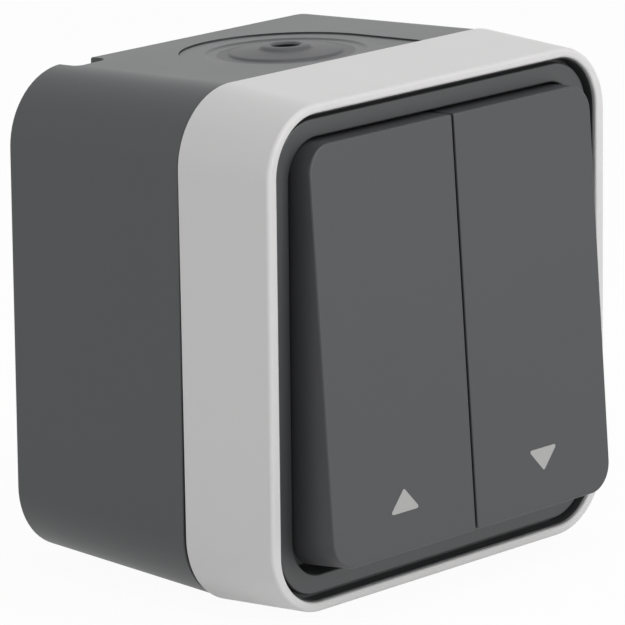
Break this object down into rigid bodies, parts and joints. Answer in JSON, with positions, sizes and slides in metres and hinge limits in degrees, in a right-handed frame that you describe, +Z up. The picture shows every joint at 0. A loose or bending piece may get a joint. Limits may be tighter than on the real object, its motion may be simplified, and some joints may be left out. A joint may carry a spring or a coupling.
{
  "type": "roller shutter switch",
  "caption": "Surface-mounted roller shutter switch: square box with a light collar, and two side-by-side rockers for up and down.",
  "frame": {"origin": "centre of the back face, where the switch lies on the wall", "axes": "+Y into the wall, +Z up, +X to the right of a person who faces the switch; the rockers look along -Y"},
  "size_m": [0.077, 0.0595, 0.078],
  "materials": {
    "box": "satin moulded anthracite plastic",
    "collar": "satin moulded light grey plastic",
    "ring": "satin moulded anthracite plastic",
    "rocker": "fine matt moulded anthracite plastic",
    "entry": "soft grey elastomer",
    "seal": "soft black elastomer",
    "carrier": "black moulded plastic",
    "block": "white moulded plastic",
    "steel": "bright zinc plated steel",
    "brass": "stamped brass"
  },
  "bodies": {
    "housing": {"back_box": "box", "seam_gasket": "seal", "collar": "collar", "cover_ring": "ring", "cover_screw_left": "steel", "cover_screw_right": "steel", "entry_membrane": "entry", "blanking_plug": "entry", "support_plate": "steel", "device_screw_left": "steel", "device_screw_right": "steel", "contact_block": "block", "bearing_frame": "carrier", "insert_seal": "seal", "pivot_pin": "steel", "live_bar": "brass", "fixed_contact_left": "brass", "fixed_contact_right": "brass", "terminal_clamp_left_upper": "brass", "terminal_clamp_left_lower": "brass", "terminal_clamp_right_upper": "brass", "terminal_clamp_right_lower": "brass", "clamp_screw_left_upper": "steel", "clamp_screw_left_lower": "steel", "clamp_screw_right_upper": "steel", "clamp_screw_right_lower": "steel"},
    "rocker_left_unit": {"rocker_left": "rocker", "cradle_left": "carrier", "plunger_spring_left": "steel"},
    "rocker_right_unit": {"rocker_right": "rocker", "cradle_right": "carrier", "plunger_spring_right": "steel"},
    "plunger_left_unit": {"plunger_left": "brass"},
    "plunger_right_unit": {"plunger_right": "brass"},
    "bridge_left_unit": {"contact_bridge_left": "brass"},
    "bridge_right_unit": {"contact_bridge_right": "brass"}
  },
  "joints": [
    {"name": "rocker_left_pivot", "type": "hinge", "parent": "housing", "child": "rocker_left_unit", "pos_m": [0, -0.0452, 0], "axis": [1, 0, 0], "range_deg": [0, 8]},
    {"name": "rocker_right_pivot", "type": "hinge", "parent": "housing", "child": "rocker_right_unit", "pos_m": [0, -0.0452, 0], "axis": [1, 0, 0], "range_deg": [0, 8]},
    {"name": "plunger_left_slide", "type": "slide", "parent": "rocker_left_unit", "child": "plunger_left_unit", "axis": [0, -0.9976, 0.0698], "range_m": [0, 0.001], "stiffness_N_per_m": 300, "deforming": ["plunger_spring_left"]},
    {"name": "plunger_right_slide", "type": "slide", "parent": "rocker_right_unit", "child": "plunger_right_unit", "axis": [0, -0.9976, 0.0698], "range_m": [0, 0.001], "stiffness_N_per_m": 300, "deforming": ["plunger_spring_right"]},
    {"name": "bridge_left_pivot", "type": "hinge", "parent": "housing", "child": "bridge_left_unit", "pos_m": [0, -0.0292, 0], "axis": [1, 0, 0], "range_deg": [-16, 0]},
    {"name": "bridge_right_pivot", "type": "hinge", "parent": "housing", "child": "bridge_right_unit", "pos_m": [0, -0.0292, 0], "axis": [1, 0, 0], "range_deg": [-16, 0]}
  ],
  "couplings": [
    {"joint": "bridge_left_pivot", "follows": "rocker_left_pivot", "ratio": -2},
    {"joint": "bridge_right_pivot", "follows": "rocker_right_pivot", "ratio": -2}
  ]
}
